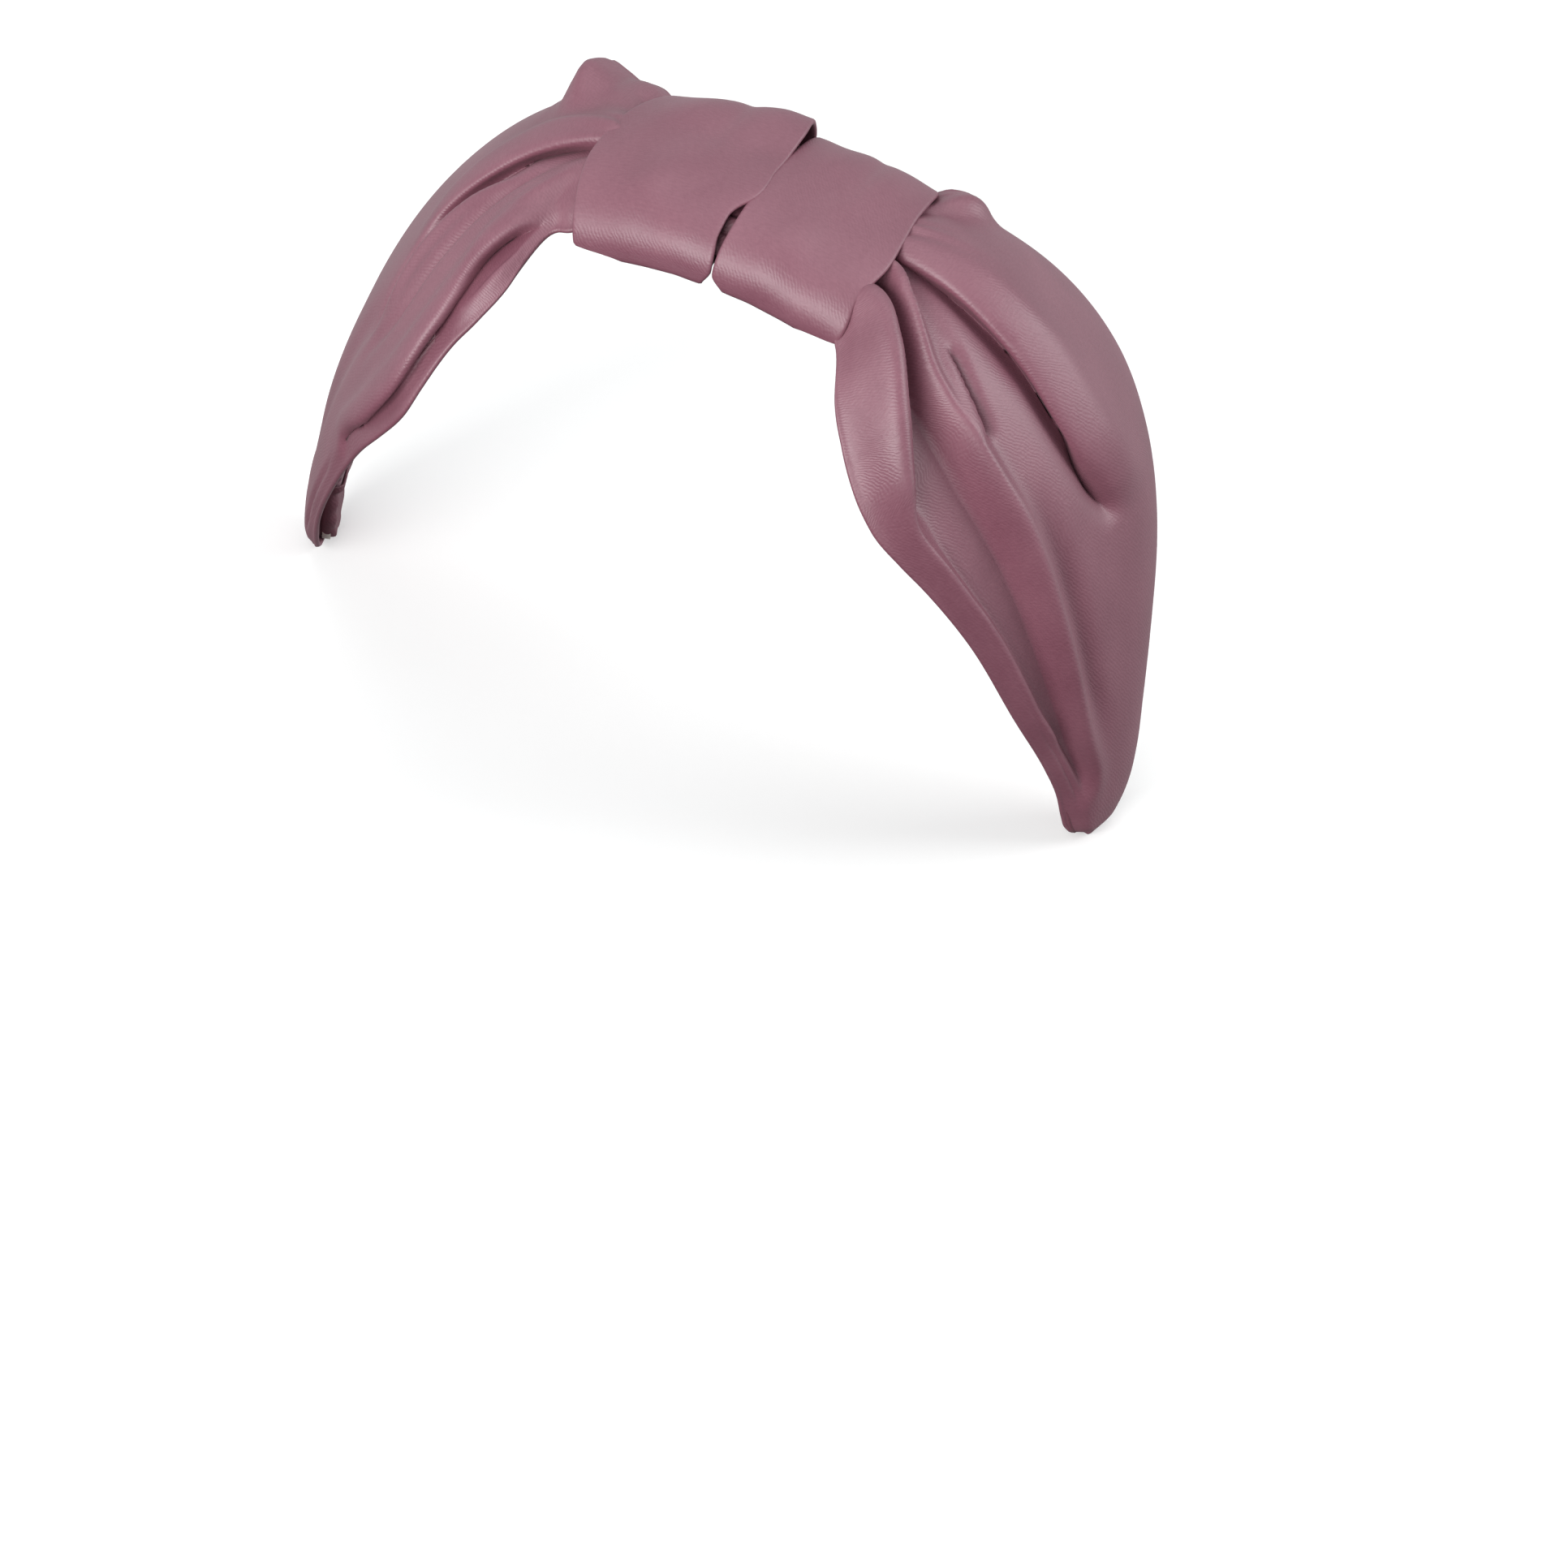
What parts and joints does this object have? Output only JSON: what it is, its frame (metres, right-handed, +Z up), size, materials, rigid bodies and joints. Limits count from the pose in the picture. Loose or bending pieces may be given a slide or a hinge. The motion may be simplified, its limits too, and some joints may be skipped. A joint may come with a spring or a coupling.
{
  "type": "headband",
  "caption": "Knotted satin headband: a sprung hoop covered by leaf-shaped gathered wings that run into a double-wrapped knot at the crown.",
  "frame": {"origin": "middle of the crown seat, on the face of the lining ribbon that rests on the head", "axes": "+X to the wearer's left, -Y to the face, +Z up out of the head; the hoop lies in the XZ plane"},
  "size_m": [0.1604, 0.0702, 0.1125],
  "materials": {
    "satin": "dusty rose duchesse satin, soft sheen",
    "satin_inner": "dusty rose satin, underside and inner layers",
    "ribbon": "ribbed grosgrain ribbon, matte",
    "band_plastic": "plain white moulded strip",
    "interlining": "soft white wadding",
    "thread": "sewing thread"
  },
  "bodies": {
    "crown": {"band_core_crown": "band_plastic", "lining_crown": "ribbon", "knot_throat": "satin_inner", "knot_wrap_left": "satin", "knot_wrap_right": "satin", "knot_tack_front": "thread", "knot_tack_rear": "thread"},
    "left_arm": {"band_core_left": "band_plastic", "lining_left": "ribbon", "wing_facing_left": "satin_inner", "wing_interlining_left": "interlining", "wing_top_left": "satin", "tip_fold_left": "satin_inner"},
    "right_arm": {"band_core_right": "band_plastic", "lining_right": "ribbon", "wing_facing_right": "satin_inner", "wing_interlining_right": "interlining", "wing_top_right": "satin", "tip_fold_right": "satin_inner"}
  },
  "joints": [
    {"name": "left_arm_flex", "type": "hinge", "parent": "crown", "child": "left_arm", "pos_m": [0.02654, 0, -0.001], "axis": [0, -1, 0], "range_deg": [-6, 9], "stiffness_Nm_per_rad": 0.8},
    {"name": "right_arm_flex", "type": "hinge", "parent": "crown", "child": "right_arm", "pos_m": [-0.02654, 0, -0.001], "axis": [0, 1, 0], "range_deg": [-6, 9], "stiffness_Nm_per_rad": 0.8}
  ]
}
